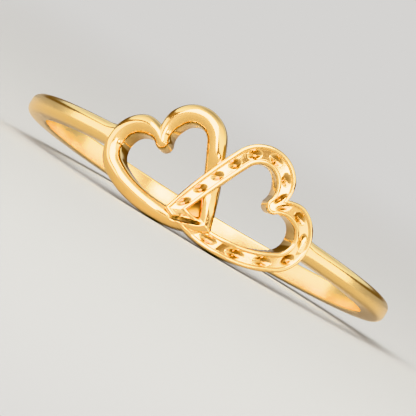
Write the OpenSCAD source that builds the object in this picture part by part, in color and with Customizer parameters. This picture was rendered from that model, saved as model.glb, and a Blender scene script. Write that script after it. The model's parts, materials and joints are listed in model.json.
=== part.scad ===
/* [Band] */
// Inside diameter of the band
band_in_d = 17.3; // [15:0.1:21]
// Width of the band, along the finger
band_w = 1; // [0.9:0.05:1.2]
// Thickness of the band, out from the finger
band_t = 1.1; // [0.9:0.05:1.2]
// Rounding of the band's two outer edges
band_round = 0.38; // [0.2:0.02:0.42]

/* [Heart outline] */
// Radius of each lobe, to the middle of its wire
lobe_r = 1.31; // [1.2:0.01:1.36]
// From the line through the lobes' centres down to the heart's point
heart_len = 4.05; // [3.9:0.05:4.5]
// How far the point leans in, towards the middle of the head
point_lean = 1.65; // [1.4:0.05:1.9]
// Radius of the full side, from the lobe at the band down to the point
outer_side_r = 6.3; // [5:0.1:9]
// Radius of the nearly straight side, from the high lobe down to the point
inner_side_r = 30; // [15:1:40]
// Slope of the line through the lobes' centres, down towards the band
lobe_slope = 37; // [34:1:40]
// From the middle of the head out to the notch between the lobes
notch_out = 2.97; // [2.8:0.01:3.06]
// Height of the notch over the middle of the band
notch_up = 0.67; // [0.6:0.01:0.9]

/* [Heart wire] */
// Width of the plain heart's wire
plain_w = 0.95; // [0.9:0.05:1.15]
// Thickness of the plain heart's wire, out from the finger
plain_t = 1.25; // [1.2:0.05:1.4]
// Width of the cut heart's wire
cut_w = 0.95; // [0.9:0.05:1.2]
// Thickness of the cut heart's wire, out from the finger
cut_t = 1.25; // [1.2:0.05:1.4]
// Width of each smooth rim along the cut heart
rim_w = 0.24; // [0.2:0.02:0.3]
// Depth of the scoops between the rims
scoop_depth = 0.3; // [0.1:0.02:0.4]
// Number of scoops along each lobe of the cut heart
lobe_scoops = 4; // [3:1:5]
// Number of scoops along each side of the cut heart
side_scoops = 4; // [3:1:5]
// How much lower a wire lies where the other heart passes over it
dip = 0.34; // [0.1:0.02:0.4]
// Width left at a heart's point, as a share of the full width
point_share = 0.8; // [0.7:0.05:1]
// Width left at a heart's notch, as a share of the full width
notch_share = 0.75; // [0.6:0.05:1]
// Height of the centre of the plain heart's rounded cusp over the lobes' centres
plain_cusp = 0.19; // [0.05:0.01:0.3]
// Height of the centre of the cut heart's rounded cusp over the lobes' centres
cut_cusp = 0.28; // [0.05:0.01:0.3]
// Width of the slit between the two wires, where they run side by side under their crossing
slit_w = 0.2; // [0.14:0.02:0.26]
// Depth of that slit
slit_depth = 0.5; // [0.3:0.05:0.6]

/* [Hidden] */
gold = [0.93, 0.73, 0.38];
band_r = band_in_d / 2;
// Feet of the two wires, outside the bore, so that the finger rides on the band
plain_foot = 0.04;
cut_foot = 0.1;
// Lengths along the head are measured round its outer face
head_r = band_r + plain_t;
// Steps round each lobe and down each side, for the plain heart and for the cut one
plain_steps = [18, 14];
scoop_steps = 6;
cut_steps = [lobe_scoops, side_scoops] * scoop_steps;
// Share of a lobe, from the notch on, over which the wire comes to its full width
notch_part = 0.35;
// Height of the straight wall below the plain wire's dome
plain_wall = 0.8;
// Bevel along the foot of both wires
foot_bevel = 0.1;
// Depth of the floor between two scoops
scoop_ridge = 0.09;
// How far along the wire a dip reaches
dip_reach = 0.75;

// A heart lies with the notch at [0, 0] and its lobes at each side, and lobe is 1 for
// the one at the band and -1 for the high one. Each half is worked out as if its lobe lay at +x.
function half_point(lobe) = [-lobe * point_lean, -heart_len];
function side_r(lobe) = lobe > 0 ? outer_side_r : inner_side_r;

// Centre of the side, an arc that runs on smoothly from its lobe and ends at the point
function side_centre(lobe) =
    let (r = side_r(lobe), centre = [lobe_r, 0], point = half_point(lobe),
         span = norm(point - centre), inner = r - lobe_r,
         along = (span * span + inner * inner - r * r) / (2 * span),
         off = sqrt(inner * inner - along * along),
         way = (point - centre) / span)
    centre + along * way - off * [-way.y, way.x];

// Angle at which a lobe runs on into its side
function join_angle(lobe) =
    let (c = side_centre(lobe)) atan2(-c.y, lobe_r - c.x);

// Lower meeting point of two circles
function meet(c1, r1, c2, r2) =
    let (d = norm(c2 - c1), way = (c2 - c1) / d,
         along = (d * d + r1 * r1 - r2 * r2) / (2 * d))
    c1 + along * way - sqrt(r1 * r1 - along * along) * [-way.y, way.x];

// Where the two sides meet, for a line that runs w outside the middle of the wire
function tip(w) =
    let (c1 = side_centre(1), c2 = side_centre(-1))
    meet(c1, outer_side_r + w, [-c2.x, c2.y], inner_side_r + w);

// Point at share t round a lobe. At the notch, the lines outside the middle meet over it, and the
// ones inside it run into an arc round the cusp's centre, which is apart from the lobe's centre.
function lobe_point(join, w, cusp, t) =
    let (notch_r = lobe_r + w * notch_share, apart = norm([lobe_r, cusp]),
         start = acos(-lobe_r / max(notch_r, apart)),
         end = 180 - max(t, notch_part) * (180 - join),
         cusp_r = max(apart - notch_r, 0), turn = cusp_r * (start - 90) * PI / 180,
         arc = notch_r * (start - end) * PI / 180,
         run = min(t / notch_part, 1) * (turn + arc), b = (run - turn) / arc,
         cusp_a = turn > 0 ? run / turn * (start - 90) : 0, a = start - b * (start - end),
         r = notch_r + w * (1 - notch_share) * b * b * (3 - 2 * b))
    run < turn ? [0, cusp] + cusp_r * [sin(cusp_a), -cos(cusp_a)]
        : [lobe_r, 0] + r * [cos(a), sin(a)];

// Point at share t down a side
function side_point(lobe, join, w, t) =
    let (c = side_centre(lobe), end = tip(w * point_share), last = atan2(end.y - c.y, lobe * end.x - c.x),
         a = join + (last - join) * t, r = side_r(lobe) + w * (1 - (1 - point_share) * t * t))
    c + r * [cos(a), sin(a)];

// Turns a heart to its place on the unrolled head
function on_head(p) =
    [notch_out + p.x * cos(lobe_slope) + p.y * sin(lobe_slope),
     notch_up - p.x * sin(lobe_slope) + p.y * cos(lobe_slope)];

// Closed line round a heart, w outside the middle of its wire: from the notch round the lobe
// at the band to the point, and back up over the high lobe
function heart_line(w, cusp, steps) =
    let (out = join_angle(1), high = join_angle(-1))
    [for (i = [0 : steps[0] - 1]) on_head(lobe_point(out, w, cusp, i / steps[0])),
     for (i = [0 : steps[1] - 1]) on_head(side_point(1, out, w, i / steps[1])),
     for (i = [steps[1] : -1 : 1])
         let (p = side_point(-1, high, w, i / steps[1])) on_head([-p.x, p.y]),
     for (i = [steps[0] : -1 : 1])
         let (p = lobe_point(high, w, cusp, i / steps[0])) on_head([-p.x, p.y])];

// The hearts' points, and where their straighter sides cross
cut_point = on_head([-point_lean, -heart_len]);
plain_point = [-cut_point.x, cut_point.y];
cross_point = let (line = heart_line(0, plain_cusp, plain_steps), n = len(line))
    [for (i = [n - plain_steps[0] - plain_steps[1] : n - 2])
        if (line[i].x < 0 && line[i + 1].x >= 0) line[i + 1]][0];

// The web closes the small triangle over the hearts' points, well below the wires' tops
web_middle = cut_point.y + 0.35;
web_r = 0.6;
web_foot = 0.15;
web_top = 0.7;

// The slit runs under the cut heart's point and rises towards the plain heart's
slit_middle = [-0.15, cut_point.y - 0.26];
slit_len = 1.42;
slit_rise = 17;
// Sides of the web and of the slit's round ends
small_fn = 24;

function near(p, q) = exp(-pow(norm(p - q) / dip_reach, 2));

// The cut heart lies over the plain one where their sides cross and at its own point, and
// under the plain heart's point
function plain_drop(p) = dip * min(1, near(p, cross_point) + near(p, cut_point));
function cut_drop(p) = dip * near(p, plain_point);

// Domed wire section as [across, height over the bore], from its foot round over the dome
dome_step = 30;
plain_section = [
    [-plain_w / 2 + foot_bevel, plain_foot],
    [plain_w / 2 - foot_bevel, plain_foot],
    for (a = [0 : dome_step : 180])
        [plain_w / 2 * cos(a), plain_wall + (plain_t - plain_wall) * sin(a)]];

// Right half of the flat-topped section, from the foot up over the rim, whose points are given
// in shares of its width: in from the wire's edge, and down from its top
rim_profile = [[0, 0.5], [0.2, 0.13], [0.5, 0], [1, 0.3]];
cut_half = [
    [cut_w / 2 - foot_bevel, cut_foot],
    [cut_w / 2, cut_foot + foot_bevel],
    for (p = rim_profile) [cut_w / 2 - p.x * rim_w, cut_t - p.y * rim_w]];

// The floor between the rims has its points at shares of its half width
floor_half = cut_w / 2 - rim_w;
floor_shares = [0.5, 0, -0.5];
cut_section = concat(cut_half, [for (x = floor_shares) [x * floor_half, cut_t]],
    [for (i = [len(cut_half) - 1 : -1 : 0]) [-cut_half[i].x, cut_half[i].y]]);

// Depth of the floor below the rims, at step i along the wire and point j of the section
function floor_depth(i, j) =
    let (k = j - len(cut_half), full = scoop_depth - scoop_ridge)
    k < 0 || k >= len(floor_shares) ? 0
        : scoop_ridge + full * pow(sin(180 * i / scoop_steps), 2) * (1 - pow(floor_shares[k], 2));

// Rolls a place on the unrolled head, and a height out of the bore, round the finger
function rolled(p, h) =
    let (a = p.x / head_r * 180 / PI)
    [(band_r + h) * sin(a), -(band_r + h) * cos(a), p.y];

// A point of the section sinks with its wire, the more the higher it is
function sunk(h, drop, top) = h - drop * h / top;

// Rings of points round the plain heart, which is the mirrored one on the left
plain_rings = let (middle = heart_line(0, plain_cusp, plain_steps),
                   lines = [for (s = plain_section) heart_line(s.x, plain_cusp, plain_steps)])
    [for (i = [0 : len(middle) - 1])
        let (drop = plain_drop([-middle[i].x, middle[i].y]))
        [for (j = [0 : len(plain_section) - 1])
            rolled([-lines[j][i].x, lines[j][i].y], sunk(plain_section[j].y, drop, plain_t))]];

// Rings of points round the cut heart, scooped between the rims
cut_rings = let (middle = heart_line(0, cut_cusp, cut_steps),
                 lines = [for (s = cut_section) heart_line(s.x, cut_cusp, cut_steps)])
    [for (i = [0 : len(middle) - 1])
        let (drop = cut_drop(middle[i]))
        [for (j = [0 : len(cut_section) - 1])
            rolled(lines[j][i], sunk(cut_section[j].y, drop, cut_t) - floor_depth(i, j))]];

// Closed skin over a loop of rings, the other way round for a mirrored heart
module loop_skin(rings, mirrored) {
    n = len(rings[0]);
    m = len(rings);
    faces = [for (i = [0 : m - 1]) for (j = [0 : n - 1])
        let (a = i * n + j, b = i * n + (j + 1) % n,
             c = (i + 1) % m * n + (j + 1) % n, d = (i + 1) % m * n + j)
        each mirrored ? [[a, b, c], [a, c, d]] : [[a, c, b], [a, d, c]]];
    polyhedron([for (r = rings) each r], faces);
}

// Section of the band: flat inside, outer edges rounded
band_outer = band_r + band_t;
edge_step = 15;
band_section = [
    [band_r, -band_w / 2],
    for (a = [-90 : edge_step : 0])
        [band_outer - band_round, band_round - band_w / 2] + band_round * [cos(a), sin(a)],
    for (a = [0 : edge_step : 90])
        [band_outer - band_round, band_w / 2 - band_round] + band_round * [cos(a), sin(a)],
    [band_r, band_w / 2]];

// The band's ends stop inside the wires of the outer lobes
band_gap = max([for (p = heart_line(0, plain_cusp, plain_steps)) p.x]) / head_r * 180 / PI;

module band() {
    color(gold)
        rotate([0, 0, band_gap - 90])
            rotate_extrude(angle = 360 - 2 * band_gap, $fn = 144)
                polygon(band_section);
}

module plain_heart() {
    color(gold) loop_skin(plain_rings, true);
}

module cut_heart() {
    color(gold) loop_skin(cut_rings, false);
}

module web() {
    color(gold)
        translate([0, -band_r - web_top, web_middle])
            rotate([-90, 0, 0])
                cylinder(r = web_r, h = web_top - web_foot, $fn = small_fn);
}

module slit() {
    color(gold)
        rotate([0, 0, slit_middle.x / head_r * 180 / PI])
            translate([0, slit_depth - head_r, slit_middle.y])
                rotate([90, 0, 0])
                    rotate(slit_rise)
                        linear_extrude(2 * slit_depth) {
                            square([slit_len - slit_w, slit_w], center = true);
                            for (side = [-1, 1])
                                translate([side * (slit_len - slit_w) / 2, 0])
                                    circle(d = slit_w, $fn = small_fn);
                        }
}

// The ring lies on its side, on the two hearts and the back of the band
head_points = [for (r = plain_rings) each r, for (r = cut_rings) each r];
back = [band_outer - band_round, -band_w / 2];
tilt = max([for (p = head_points) atan2(back.y - p.z, back.x - p.y)]);
rest_z = back.x * sin(tilt) - back.y * cos(tilt);
rest_y = -(max([for (p = band_section) p.x * cos(tilt) + p.y * sin(tilt)])
    + min([for (p = head_points) p.y * cos(tilt) + p.z * sin(tilt)])) / 2;

module ring() {
    translate([0, rest_y, rest_z])
        rotate([-tilt, 0, 0])
            difference() {
                union() {
                    band();
                    plain_heart();
                    cut_heart();
                    web();
                }
                slit();
            }
}

ring();
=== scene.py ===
import json
import math
import bpy
import numpy as np
from mathutils import Matrix, Vector, noise


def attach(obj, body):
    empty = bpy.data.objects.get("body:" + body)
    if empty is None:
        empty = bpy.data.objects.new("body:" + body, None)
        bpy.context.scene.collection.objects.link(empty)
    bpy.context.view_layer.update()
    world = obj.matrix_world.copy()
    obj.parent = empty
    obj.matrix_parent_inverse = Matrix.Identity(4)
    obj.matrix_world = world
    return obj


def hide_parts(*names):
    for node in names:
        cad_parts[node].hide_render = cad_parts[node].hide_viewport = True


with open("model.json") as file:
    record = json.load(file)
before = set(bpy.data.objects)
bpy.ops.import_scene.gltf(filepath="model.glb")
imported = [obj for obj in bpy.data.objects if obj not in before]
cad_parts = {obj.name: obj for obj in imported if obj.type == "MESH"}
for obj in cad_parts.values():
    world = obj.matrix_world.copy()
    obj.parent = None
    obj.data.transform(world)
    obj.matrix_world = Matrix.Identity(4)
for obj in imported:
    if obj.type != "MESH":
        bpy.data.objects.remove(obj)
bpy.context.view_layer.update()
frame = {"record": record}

# Sizes are in millimetres, in the ring's own upright place, and to_row turns them into the row's
mm = 0.001
finger_hole = frame["record"]["mounts"][0]
hole_axis = np.array(finger_hole["axis"])
hole_centre = np.array(finger_hole["pos_m"])
band_r = finger_hole["dims"]["r_mm"]
band_w = finger_hole["dims"]["length_mm"]
band_t = 1.1
band_round = 0.38
inner_round = 0.1
band_gap = math.radians(30.8)
flare_reach = 0.9
flare_w = 0.16
flare_t = 0.12
band_steps = 360
round_steps = 10
# Near black painted shade for the narrow slit where the two wires cross
slit_shade_colour = (0.07, 0.04, 0.02, 1)


def to_row(points):
    """Places of the ring, in millimetres round its own hole, as places of the row, in metres."""
    right = np.array([1.0, 0.0, 0.0])
    turned = np.array([right, np.cross(hole_axis, right), hole_axis])
    return np.asarray(points) @ turned * mm + hole_centre


def skin(name, rings, closed):
    """A smooth mesh over rings of points, of which the last one meets the first one if closed."""
    count, size = rings.shape[:2]
    faces = []
    for i in range(count if closed else count - 1):
        here, there = i * size, (i + 1) % count * size
        faces += [(here + j, here + (j + 1) % size, there + (j + 1) % size, there + j)
                  for j in range(size)]
    if not closed:
        faces += [tuple(range(size))[::-1], tuple(range((count - 1) * size, count * size))]
    mesh = bpy.data.meshes.new(name)
    mesh.from_pydata(to_row(rings.reshape(-1, 3)).tolist(), [], faces)
    piece = bpy.data.objects.new(name, mesh)
    bpy.context.scene.collection.objects.link(piece)
    mesh.shade_smooth()
    return piece


def uneven(piece, height, grain):
    """Leaves a surface a little wavy, as hand polishing does: by height, in millimetres."""
    mesh = piece.data
    normals = [v.normal.copy() for v in mesh.vertices]
    for v, n in zip(mesh.vertices, normals):
        v.co += n * height * mm * noise.noise(v.co / (grain * mm))


def keep_value(piece, name, values):
    """Stores a number for each point, which a material reads by this name."""
    layer = piece.data.attributes.new(name, "FLOAT", "POINT")
    layer.data.foreach_set("value", np.asarray(values, np.float32).ravel())


def corner(across, up, radius, start, steps=round_steps):
    """Points of a section round a rounded corner, a quarter turn on from start, in degrees."""
    angles = [math.radians(start + 90 * i / steps) for i in range(steps + 1)]
    return [(across + radius * math.cos(a), up + radius * math.sin(a)) for a in angles]


def band_section(half_w, thick):
    """Section of the band as across, along the finger, and up, out from the bore."""
    top = half_w - band_round
    return (corner(half_w - inner_round, inner_round, inner_round, -90)
            + corner(top, thick - band_round, band_round, 0)
            + corner(-top, thick - band_round, band_round, 90)
            + corner(inner_round - half_w, inner_round, inner_round, 180))


band_turns = np.linspace(band_gap, 2 * math.pi - band_gap, band_steps)
band_rings = []
for turn in band_turns:
    left = (min(turn, 2 * math.pi - turn) - band_gap) * band_r
    flare = max(0, 1 - left / flare_reach) ** 2
    section = np.array(band_section(band_w / 2 + flare_w * flare, band_t + flare_t * flare))
    reach = band_r + section[:, 1]
    band_rings.append(np.stack([reach * math.sin(turn), -reach * math.cos(turn), section[:, 0]], 1))
band = skin("band", np.array(band_rings), closed=False)
uneven(band, height=0.004, grain=1.3)


def group_with(name, inputs, outputs):
    """An empty shader node group with named sockets, and its two end nodes."""
    group = bpy.data.node_groups.new(name, "ShaderNodeTree")
    for label, kind, value in inputs:
        socket = group.interface.new_socket(label, in_out="INPUT", socket_type=kind)
        if value is not None:
            socket.default_value = value
    for label, kind in outputs:
        group.interface.new_socket(label, in_out="OUTPUT", socket_type=kind)
    return group, group.nodes.new("NodeGroupInput"), group.nodes.new("NodeGroupOutput")


def noise_node(group, scale, detail, roughness):
    """A noise texture that lies fixed on the piece."""
    place = group.nodes.new("ShaderNodeTexCoord")
    texture = group.nodes.new("ShaderNodeTexNoise")
    texture.inputs["Scale"].default_value = scale
    texture.inputs["Detail"].default_value = detail
    texture.inputs["Roughness"].default_value = roughness
    group.links.new(place.outputs["Object"], texture.inputs["Vector"])
    return texture


def math_node(group, operation, a, b):
    """A Math node with two inputs, each a socket or a number."""
    node = group.nodes.new("ShaderNodeMath")
    node.operation = operation
    for socket, value in zip(node.inputs, (a, b)):
        if isinstance(value, bpy.types.NodeSocket):
            group.links.new(value, socket)
        else:
            socket.default_value = value
    return node.outputs["Value"]


def mix_colours(group, factor, a, b):
    """A Mix node between two colours, each a socket or a colour."""
    node = group.nodes.new("ShaderNodeMix")
    node.data_type = "RGBA"
    for label, value in (("Factor", factor), ("A", a), ("B", b)):
        socket = node.inputs[label]
        if isinstance(value, bpy.types.NodeSocket):
            group.links.new(value, socket)
        else:
            socket.default_value = value
    return node.outputs["Result"]


# Colour of the gold: patches of a slightly redder alloy, painted shade in the hollows and on the side
# walls, and a near black painted shade in the narrow slit
gold_tone, inner, outer = group_with(
    "gold tone",
    [("Gold", "NodeSocketColor", None), ("Red gold", "NodeSocketColor", None),
     ("Shaded gold", "NodeSocketColor", None), ("Patches", "NodeSocketFloat", 0.3),
     ("Shaded hollow", "NodeSocketFloat", 0.0), ("Painted slit shade", "NodeSocketColor", None),
     ("Gap", "NodeSocketFloat", 0.0)],
    [("Color", "NodeSocketColor")])
patches = noise_node(gold_tone, scale=900, detail=3, roughness=0.55)
patch_share = math_node(gold_tone, "MULTIPLY", patches.outputs["Fac"], inner.outputs["Patches"])
patched = mix_colours(gold_tone, patch_share, inner.outputs["Gold"], inner.outputs["Red gold"])
# Painted shade: the hollow mask mixes in a shaded gold, and the gap mask a near black
shaded = mix_colours(gold_tone, inner.outputs["Shaded hollow"], patched, inner.outputs["Shaded gold"])
with_slit_shade = mix_colours(gold_tone, inner.outputs["Gap"], shaded, inner.outputs["Painted slit shade"])
gold_tone.links.new(with_slit_shade, outer.inputs["Color"])

# Marks of the polishing wheel: fine hairlines, and patches that shine a little less
polish, inner, outer = group_with(
    "polish marks",
    [("Shine", "NodeSocketFloat", 0.1), ("Dull", "NodeSocketFloat", 0.2),
     ("Shaded hollow", "NodeSocketFloat", 0.0)],
    [("Roughness", "NodeSocketFloat"), ("Height", "NodeSocketFloat")])
wheel = noise_node(polish, scale=2600, detail=4, roughness=0.6)
hairs = noise_node(polish, scale=9000, detail=5, roughness=0.7)
spread = math_node(polish, "SUBTRACT", inner.outputs["Dull"], inner.outputs["Shine"])
amount = math_node(polish, "MAXIMUM", wheel.outputs["Fac"], inner.outputs["Shaded hollow"])
dulled = math_node(polish, "MULTIPLY", spread, amount)
rough = math_node(polish, "ADD", inner.outputs["Shine"], dulled)
polish.links.new(rough, outer.inputs["Roughness"])
polish.links.new(hairs.outputs["Fac"], outer.inputs["Height"])


def gold_material(name, gold, red_gold, shaded_gold, patches, shine, dull, hair_height, painted_shade=None,
                  gap=None):
    """A polished gold. painted_shade and gap name the stored values through which shade is painted
    into its recesses and its slit.
    """
    material = bpy.data.materials.new(name)
    material.use_nodes = True
    tree = material.node_tree
    shader = tree.nodes["Principled BSDF"]
    shader.inputs["Metallic"].default_value = 1.0
    tone = tree.nodes.new("ShaderNodeGroup")
    tone.node_tree = gold_tone
    tone.inputs["Gold"].default_value = (*gold, 1)
    tone.inputs["Red gold"].default_value = (*red_gold, 1)
    tone.inputs["Shaded gold"].default_value = (*shaded_gold, 1)
    tone.inputs["Painted slit shade"].default_value = slit_shade_colour
    tone.inputs["Patches"].default_value = patches
    marks = tree.nodes.new("ShaderNodeGroup")
    marks.node_tree = polish
    marks.inputs["Shine"].default_value = shine
    marks.inputs["Dull"].default_value = dull
    bump = tree.nodes.new("ShaderNodeBump")
    bump.inputs["Distance"].default_value = hair_height * mm
    tree.links.new(tone.outputs["Color"], shader.inputs["Base Color"])
    tree.links.new(marks.outputs["Roughness"], shader.inputs["Roughness"])
    tree.links.new(marks.outputs["Height"], bump.inputs["Height"])
    tree.links.new(bump.outputs["Normal"], shader.inputs["Normal"])
    if painted_shade:
        stored = tree.nodes.new("ShaderNodeAttribute")
        stored.attribute_name = painted_shade
        tree.links.new(stored.outputs["Fac"], tone.inputs["Shaded hollow"])
        tree.links.new(stored.outputs["Fac"], marks.inputs["Shaded hollow"])
    if gap:
        stored = tree.nodes.new("ShaderNodeAttribute")
        stored.attribute_name = gap
        tree.links.new(stored.outputs["Fac"], tone.inputs["Gap"])
    return material


band.data.materials.append(gold_material(
    "band gold", gold=(0.98, 0.75, 0.37), red_gold=(0.94, 0.64, 0.25),
    shaded_gold=(0.62, 0.32, 0.09), patches=0.4, shine=0.11, dull=0.25, hair_height=0.002))
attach(band, "root")
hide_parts("ring")

# Plain heart
# An open heart of domed wire on the left of the head, cast with the band and polished bright. The
# band runs into its outer lobe, and it sinks where the cut heart passes over it.
# The outline: its lobes and sides, and where the notch lies on the head
lobe_r = 1.31
heart_len = 4.05
point_lean = 1.65
outer_side_r = 6.3
inner_side_r = 30
lobe_slope = math.radians(37)
notch_out = 2.97
notch_up = 0.67
# The wire: the shares of its width that are left at point and notch, and its section
point_share = 0.8
notch_share = 0.75
notch_part = 0.35
plain_w = 0.95
plain_t = 1.25
plain_foot = 0.04
plain_wall = 0.8
plain_cusp = 0.19
foot_round = 0.1
foot_steps = 4
dome_steps = 48
# The dip under the other heart, the painted shade on the side walls, and the slit at the crossing
# with its painted shade
dip = 0.34
dip_reach = 0.75
wall_reach = 0.5
wall_painted_shade = 0.65
over_wall = 0.1
slit_w = 0.26
slit_len = 1.5
slit_depth = 0.5
slit_rise = math.radians(17)
slit_left = 0.15
slit_under = 0.26
slit_edge = 0.6
slit_shade_power = 2
plain_steps = (72, 64)
mirrored = np.array([-1, 1])
head_r = band_r + plain_t


def side_centre(lobe):
    """Centre of a side: lobe is 1 for the side at the band, and -1 for the one in the middle."""
    r = outer_side_r if lobe > 0 else inner_side_r
    centre = np.array([lobe_r, 0.0])
    point = np.array([-lobe * point_lean, -heart_len])
    span = np.linalg.norm(point - centre)
    inside = r - lobe_r
    along = (span ** 2 + inside ** 2 - r ** 2) / (2 * span)
    way = (point - centre) / span
    return centre + along * way - math.sqrt(inside ** 2 - along ** 2) * np.array([-way[1], way[0]])


def join_angle(lobe):
    """Angle at which a lobe runs on into its side."""
    centre = side_centre(lobe)
    return math.atan2(-centre[1], lobe_r - centre[0])


def tip(w):
    """Where the two sides meet, for a line that runs w outside the middle of the wire."""
    c1, c2 = side_centre(1), side_centre(-1) * mirrored
    r1, r2 = outer_side_r + w, inner_side_r + w
    d = np.linalg.norm(c2 - c1)
    way = (c2 - c1) / d
    along = (d ** 2 + r1 ** 2 - r2 ** 2) / (2 * d)
    return c1 + along * way - math.sqrt(r1 ** 2 - along ** 2) * np.array([-way[1], way[0]])


def lobe_points(lobe, w, cusp, t):
    """Points at the shares t round a lobe, from the notch, where the wire is thinner and rounded."""
    notch_r = lobe_r + w * notch_share
    apart = math.hypot(lobe_r, cusp)
    start = math.acos(-lobe_r / max(notch_r, apart))
    end = math.pi - np.maximum(t, notch_part) * (math.pi - join_angle(lobe))
    cusp_r = max(apart - notch_r, 0)
    turn = cusp_r * (start - math.pi / 2)
    arc = notch_r * (start - end)
    run = np.minimum(t / notch_part, 1) * (turn + arc)
    share = (run - turn) / arc
    angle = start - share * (start - end)
    r = notch_r + w * (1 - notch_share) * share * share * (3 - 2 * share)
    points = np.stack([lobe_r + r * np.cos(angle), r * np.sin(angle)], 1)
    if turn:
        angle = run / turn * (start - math.pi / 2)
        nub = np.stack([cusp_r * np.sin(angle), cusp - cusp_r * np.cos(angle)], 1)
        points = np.where((run < turn)[:, None], nub, points)
    return points


def side_points(lobe, w, t):
    """Points at the shares t down a side, from its lobe to the point, where the wire is thinner."""
    centre, end = side_centre(lobe), tip(w * point_share)
    join = join_angle(lobe)
    last = math.atan2(end[1] - centre[1], lobe * end[0] - centre[0])
    angle = join + (last - join) * t
    r = (outer_side_r if lobe > 0 else inner_side_r) + w * (1 - (1 - point_share) * t * t)
    return centre + r[:, None] * np.stack([np.cos(angle), np.sin(angle)], 1)


def on_head(p):
    """Turns a heart to its place on the unrolled head."""
    cos, sin = math.cos(lobe_slope), math.sin(lobe_slope)
    out = notch_out + p[..., 0] * cos + p[..., 1] * sin
    up = notch_up - p[..., 0] * sin + p[..., 1] * cos
    return np.stack([out, up], -1)


def heart_line(w, cusp, steps):
    """Closed line round a heart, w outside the middle of its wire, from the notch and back to it."""
    round_lobe, down_side = (np.arange(n) / n for n in steps)
    back_up, back_round = (np.arange(n, 0, -1) / n for n in steps[::-1])
    return on_head(np.concatenate([
        lobe_points(1, w, cusp, round_lobe), side_points(1, w, down_side),
        side_points(-1, w, back_up) * mirrored, lobe_points(-1, w, cusp, back_round) * mirrored]))


def rolled(p, height):
    """Rolls places on the unrolled head, and heights out of the bore, round the finger."""
    turn = p[..., 0] / head_r
    reach = band_r + height
    return np.stack([reach * np.sin(turn), -reach * np.cos(turn), p[..., 1]], -1)


def near(p, place):
    """1 at a place on the head, and down to 0 away from it."""
    return np.exp(-(np.linalg.norm(p - place, axis=-1) / dip_reach) ** 2)


def wall_shade(up, edge):
    """How much shade is painted on a side wall: 0 from its edge up, and more towards its dull foot.
    """
    down = np.clip((edge - up) / wall_reach, 0, 1)
    return wall_painted_shade * down * down * (3 - 2 * down)


# The hearts are mirror images, and the outlines above are worked out for the one on the right
cut_point = on_head(np.array([-point_lean, -heart_len]))
plain_point = cut_point * mirrored
slit_middle = np.array([-slit_left, cut_point[1] - slit_under])
slit_floor = plain_t - slit_depth


def slit_share(p):
    """1 in the slit between the two wires, and 0 on the head round it."""
    way = np.array([math.cos(slit_rise), math.sin(slit_rise)])
    along = (p - slit_middle) @ way
    across = (p - slit_middle) @ np.array([-way[1], way[0]])
    inside = 1 - (2 * along / slit_len) ** 4 - (2 * across / slit_w) ** 2
    return np.clip(inside, 0, 1) ** slit_edge


plain_middle = heart_line(0, plain_cusp, plain_steps)
inner_side = plain_middle[-sum(plain_steps):-plain_steps[0]]
cross_point = inner_side[np.argmin(abs(inner_side[:, 0]))]

foot_in = plain_w / 2 - foot_round
foot_up = plain_foot + foot_round
plain_dome = [(plain_w / 2 * math.cos(math.pi * i / dome_steps),
               plain_wall + (plain_t - plain_wall) * math.sin(math.pi * i / dome_steps))
              for i in range(dome_steps + 1)]
plain_section = (corner(foot_in, foot_up, foot_round, -90, foot_steps) + plain_dome
                 + corner(-foot_in, foot_up, foot_round, 180, foot_steps))
plain_lines = np.stack([heart_line(x, plain_cusp, plain_steps) for x, up in plain_section], 1)
plain_drop = dip * np.minimum(1, near(plain_middle * mirrored, cross_point)
                              + near(plain_middle * mirrored, cut_point))
plain_up = np.array([up for x, up in plain_section])
plain_slit = slit_share(plain_lines * mirrored) * (plain_up > plain_wall / 2)
plain_height = plain_up * (1 - plain_drop[:, None] / plain_t)
plain_height += (slit_floor - plain_height) * plain_slit
plain_rings = rolled(plain_lines * mirrored, plain_height)
plain_heart = skin("plain_heart", plain_rings[:, ::-1], closed=True)
plain_shade = wall_shade(plain_up, plain_wall + over_wall)
# Painted shade on the side walls, deeper towards the foot, and near black painted shade in the slit
keep_value(plain_heart, "painted_shade", np.tile(plain_shade[::-1], len(plain_middle)))
keep_value(plain_heart, "slit", plain_slit[:, ::-1] ** slit_shade_power)
uneven(plain_heart, height=0.012, grain=0.8)
plain_heart.data.materials.append(gold_material(
    "plain heart gold", gold=(0.96, 0.71, 0.34), red_gold=(0.91, 0.58, 0.20),
    shaded_gold=(0.38, 0.17, 0.04), patches=0.4, shine=0.05, dull=0.13, hair_height=0.0015,
    painted_shade="painted_shade", gap="slit"))
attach(plain_heart, "root")
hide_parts("ring")

# Cut heart
# An open heart of flat-topped wire on the right of the head. Two smooth rims run along its edges, and
# between them a graver has cut a row of bright scoops.
cut_w = 0.95
cut_t = 1.25
cut_foot = 0.1
cut_cusp = 0.28
rim_w = 0.24
rim_round = 0.12
# The scoops: their depth, the ridge between them, and their reach along and across their floor
scoop_depth = 0.3
scoop_ridge = 0.09
scoop_long = 0.64
scoop_wide = 1.0
# Powers that shape a scoop's bowl and the shade painted into it, and how much shallower some scoops
# are
scoop_bowl = 1.25
scoop_shade_power = 0.8
scoop_uneven = 0.3
scoop_seed = 4
cut_slit_sunk = 0.02
lobe_scoops = 4
side_scoops = 4
scoop_steps = 32
rim_steps = 6
floor_steps = 24

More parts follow.
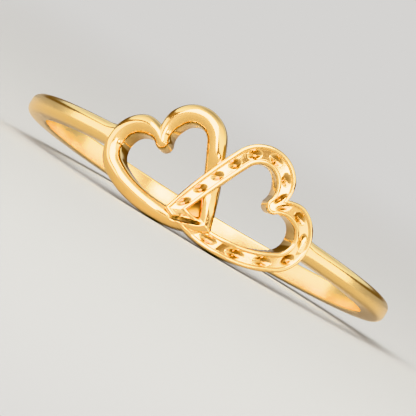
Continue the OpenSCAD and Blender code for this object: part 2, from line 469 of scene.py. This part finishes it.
cut_steps = (lobe_scoops * scoop_steps, side_scoops * scoop_steps)
cut_middle = heart_line(0, cut_cusp, cut_steps)
floor_half = cut_w / 2 - rim_w
rim_inside = [(cut_w / 2 - rim_round - (rim_w - rim_round) * i / rim_steps,
               cut_t - scoop_ridge * (1 - math.sqrt(1 - (i / rim_steps) ** 2)))
              for i in range(1, rim_steps + 1)]
cut_half = (corner(cut_w / 2 - foot_round, cut_foot + foot_round, foot_round, -90, foot_steps)
            + corner(cut_w / 2 - rim_round, cut_t - rim_round, rim_round, 0) + rim_inside)
floor_places = np.linspace(floor_half, -floor_half, floor_steps + 1)[1:-1]
cut_floor = [(x, cut_t - scoop_ridge) for x in floor_places]
cut_section = cut_half + cut_floor + [(-x, up) for x, up in cut_half[::-1]]
cut_lines = np.stack([heart_line(x, cut_cusp, cut_steps) for x, up in cut_section], 1)
along = (np.arange(len(cut_middle)) % scoop_steps + 0.5) / scoop_steps * 2 - 1
across = np.array([x / floor_half for x, up in cut_section])
on_floor = np.zeros(len(cut_section), bool)
on_floor[len(cut_half):len(cut_half) + len(cut_floor)] = True
inside = np.clip(1 - (along[:, None] / scoop_long) ** 2 - (across / scoop_wide) ** 2, 0, 1)
chance = np.random.default_rng(scoop_seed).random(len(cut_middle) // scoop_steps)
each_cut = 1 - scoop_uneven * chance
inside = np.where(on_floor, inside, 0) * np.repeat(each_cut, scoop_steps)[:, None]
bowl = inside ** scoop_bowl
cut_drop = dip * near(cut_middle, plain_point)
cut_up = np.array([up for x, up in cut_section])
cut_slit = slit_share(cut_lines) * (cut_up > cut_t / 2)
cut_height = cut_up * (1 - cut_drop[:, None] / cut_t) - (scoop_depth - scoop_ridge) * bowl
cut_height += (slit_floor - cut_slit_sunk - cut_height) * cut_slit
cut_heart = skin("cut_heart", rolled(cut_lines, cut_height), closed=True)
# Painted shade: darker in the scoops, most at their middle, and on the side walls towards the foot
cut_shade = np.maximum(inside ** scoop_shade_power, wall_shade(cut_up, cut_t - rim_round))
keep_value(cut_heart, "painted_shade", cut_shade)
keep_value(cut_heart, "slit", cut_slit ** slit_shade_power)
uneven(cut_heart, height=0.007, grain=0.9)
cut_heart.data.materials.append(gold_material(
    "cut heart gold", gold=(0.96, 0.71, 0.34), red_gold=(0.91, 0.58, 0.20),
    shaded_gold=(0.36, 0.17, 0.035), patches=0.4, shine=0.05, dull=0.13, hair_height=0.0015,
    painted_shade="painted_shade", gap="slit"))
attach(cut_heart, "root")
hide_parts("ring")

# Web
# A small plate of the same gold that closes the triangle over the hearts' points. It is cast with
# them and lies well below their tops. Its colour is painted shade: a deep orange gold, darkest in the
# narrow upper corner between the wires.
web_rise = 0.35
web_middle = cut_point[1] + web_rise
web_r = 0.6
web_foot = 0.15
web_top = 0.7
web_round = 0.08
web_dish = 0.05
web_shares = (0.6, 0.4, 0.2)
web_shade_from = 0.0
web_shade_to = 0.3
web_steps = 48
web_turns = np.linspace(0, 2 * math.pi, web_steps, endpoint=False)
web_profile = corner(web_r - web_round, web_foot + web_round, web_round, -90, foot_steps)
web_profile += corner(web_r - web_round, web_top - web_round, web_round, 0, foot_steps)
web_profile += [(web_r * share, web_top - web_dish * (1 - share)) for share in web_shares]
web_circle = np.stack([np.sin(web_turns), np.cos(web_turns)], 1)
web_rings = np.array([rolled(reach * web_circle + np.array([0, web_middle]), up)
                      for reach, up in web_profile])
web = skin("web", web_rings[:, ::-1], closed=False)
# Painted shade, darkest towards the web's upper corner
web_up = np.array([reach * web_circle[:, 1] for reach, up in web_profile])
web_shade = np.clip((web_up - web_shade_from) / (web_shade_to - web_shade_from), 0, 1)
keep_value(web, "painted_shade", web_shade[:, ::-1])
uneven(web, height=0.02, grain=0.3)
# The web's own colours are a darker orange gold, as painted shade
web.data.materials.append(gold_material(
    "web shaded gold", gold=(0.66, 0.37, 0.08), red_gold=(0.48, 0.23, 0.04),
    shaded_gold=(0.16, 0.07, 0.02), patches=0.8, shine=0.3, dull=0.5, hair_height=0.006,
    painted_shade="painted_shade"))
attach(web, "root")
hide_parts("ring")

# Studio floor and air
# A wide sheet of pale matt card under the ring, which fades into the pale air behind it. The gold
# mirrors a room that the camera doesn't see: a warmer card, pale walls, a dark brown gap over them
# and a bright ceiling.
floor_r = 4.0
floor_sides = 96
fade_start = 0.03
fade_end = 0.35
card = (0.31, 0.294, 0.286, 1)
air = (0.7, 0.69, 0.676, 1)
card_in_gold = (0.345, 0.288, 0.23, 1)
air_in_gold = (0.735, 0.64, 0.54, 1)
card_roughness = 0.9
# Height of each band of the room, as the sine of the angle over the floor, and its colour
room_bands = [
    (0.0, (0.50, 0.455, 0.40, 1)),
    (0.13, (0.50, 0.455, 0.40, 1)),
    (0.21, (0.17, 0.105, 0.05, 1)),
    (0.36, (0.19, 0.12, 0.06, 1)),
    (0.44, (0.90, 0.95, 0.94, 1)),
    (0.8, (0.60, 0.59, 0.57, 1)),
    (1.0, (0.3, 0.29, 0.27, 1))]
# The room's strength in front, the share of it that is left at the back, and where along Y, for
# a direction of length 1, each of the two is reached
room_strength = 2.6
back_share = 0.4
front_from = -0.3
back_from = 0.6
bpy.ops.mesh.primitive_circle_add(vertices=floor_sides, radius=floor_r, fill_type="NGON")
floor = bpy.context.object
floor.name = "studio_floor"
floor_material = bpy.data.materials.new("pale card")
floor_material.use_nodes = True
floor.data.materials.append(floor_material)
tree = floor_material.node_tree
card_shader = tree.nodes["Principled BSDF"]
card_shader.inputs["Roughness"].default_value = card_roughness
glow = tree.nodes.new("ShaderNodeEmission")
to_eye = tree.nodes.new("ShaderNodeLightPath").outputs["Is Camera Ray"]
tree.links.new(mix_colours(tree, to_eye, card_in_gold, card), card_shader.inputs["Base Color"])
tree.links.new(mix_colours(tree, to_eye, air_in_gold, air), glow.inputs["Color"])
far = tree.nodes.new("ShaderNodeTexCoord")
length = tree.nodes.new("ShaderNodeVectorMath")
length.operation = "LENGTH"
fade = tree.nodes.new("ShaderNodeMapRange")
fade.interpolation_type = "SMOOTHSTEP"
fade.inputs["From Min"].default_value = fade_start
fade.inputs["From Max"].default_value = fade_end
both = tree.nodes.new("ShaderNodeMixShader")
tree.links.new(far.outputs["Object"], length.inputs[0])
tree.links.new(length.outputs["Value"], fade.inputs["Value"])
tree.links.new(fade.outputs["Result"], both.inputs["Fac"])
tree.links.new(card_shader.outputs["BSDF"], both.inputs[1])
tree.links.new(glow.outputs["Emission"], both.inputs[2])
tree.links.new(both.outputs["Shader"], tree.nodes["Material Output"].inputs["Surface"])
world = bpy.data.worlds.new("studio air")
bpy.context.scene.world = world
world.use_nodes = True
tree = world.node_tree
seen_air = tree.nodes["Background"]
seen_air.inputs["Color"].default_value = air
room = tree.nodes.new("ShaderNodeBackground")
direction = tree.nodes.new("ShaderNodeTexCoord")
parts = tree.nodes.new("ShaderNodeSeparateXYZ")
bands = tree.nodes.new("ShaderNodeValToRGB")
bands.color_ramp.interpolation = "EASE"
steps = bands.color_ramp.elements
steps.remove(steps[1])
for i, (place, colour) in enumerate(room_bands):
    step = steps.new(place) if i else steps[0]
    step.position = place
    step.color = colour
front = tree.nodes.new("ShaderNodeMapRange")
front.interpolation_type = "SMOOTHSTEP"
front.inputs["From Min"].default_value = back_from
front.inputs["From Max"].default_value = front_from
front.inputs["To Min"].default_value = room_strength * back_share
front.inputs["To Max"].default_value = room_strength
rays = tree.nodes.new("ShaderNodeLightPath")
choice = tree.nodes.new("ShaderNodeMixShader")
tree.links.new(direction.outputs["Generated"], parts.inputs["Vector"])
tree.links.new(parts.outputs["Z"], bands.inputs["Fac"])
tree.links.new(parts.outputs["Y"], front.inputs["Value"])
tree.links.new(bands.outputs["Color"], room.inputs["Color"])
tree.links.new(front.outputs["Result"], room.inputs["Strength"])
tree.links.new(rays.outputs["Is Camera Ray"], choice.inputs["Fac"])
tree.links.new(room.outputs["Background"], choice.inputs[1])
tree.links.new(seen_air.outputs["Background"], choice.inputs[2])
tree.links.new(choice.outputs["Shader"], tree.nodes["World Output"].inputs["Surface"])
bpy.context.scene.view_settings.view_transform = "Khronos PBR Neutral"

# Studio lights
# A wide soft box high in front, a low panel on each side, and two small panels in front that put the
# white glints on the crowns of the wires. Their light is a little cool, as daylight is.
daylight = (0.94, 1, 1)


def soft_box(name, place, size, power):
    """A rectangular soft light at a place, turned to the ring."""
    light = bpy.data.lights.new(name, "AREA")
    light.shape = "RECTANGLE"
    light.size, light.size_y = size
    light.energy = power
    light.color = daylight
    lamp = bpy.data.objects.new(name, light)
    lamp.location = place
    lamp.rotation_euler = Vector(place).to_track_quat("Z", "Y").to_euler()
    lamp.visible_camera = False
    bpy.context.scene.collection.objects.link(lamp)


soft_box("top box", place=(-0.3, -0.75, 0.6), size=(1.0, 0.8), power=24)
soft_box("left panel", place=(-0.85, -0.2, 0.1), size=(0.8, 0.2), power=1.3)
soft_box("right panel", place=(0.85, -0.2, 0.1), size=(0.8, 0.2), power=1.3)
soft_box("left front panel", place=(-0.15, -1.0, 0.22), size=(0.4, 0.12), power=2.5)
soft_box("right front panel", place=(0.55, -0.85, 0.22), size=(0.25, 0.12), power=1.6)

# Camera
# It looks at the hearts from a little under the plane in which the ring is round, and is turned round
# its own line of sight. It is far off, so that the ring shows without strong perspective.
view_side = math.radians(2.9)
view_under = math.radians(4.6)
view_roll = math.radians(31.2)
view_lens = 1000
view_frame = 19.6
view_nearest = 0.01
sensor = 36

level = np.array([math.cos(view_side), math.sin(view_side), 0])
forward = np.array([math.sin(view_side), -math.cos(view_side), 0])
upright = np.array([0, 0, 1.0])
to_camera = math.cos(view_under) * forward - math.sin(view_under) * upright
above = math.cos(view_under) * upright + math.sin(view_under) * forward
image_right = math.cos(view_roll) * level + math.sin(view_roll) * above
image_up = math.cos(view_roll) * above - math.sin(view_roll) * level
camera_data = bpy.data.cameras.new("camera")
camera_data.lens = view_lens
camera_data.sensor_width = sensor
camera_data.clip_start = view_nearest
camera = bpy.data.objects.new("camera", camera_data)
distance = view_frame * view_lens / sensor
aim = np.zeros(3)
turned = [to_row(v) - to_row(np.zeros(3)) for v in (image_right, image_up, to_camera)]
pose = Matrix((np.array(turned).T / mm).tolist())
camera.matrix_world = Matrix.Translation(to_row(aim + to_camera * distance)) @ pose.to_4x4()
bpy.context.scene.collection.objects.link(camera)
bpy.context.scene.camera = camera
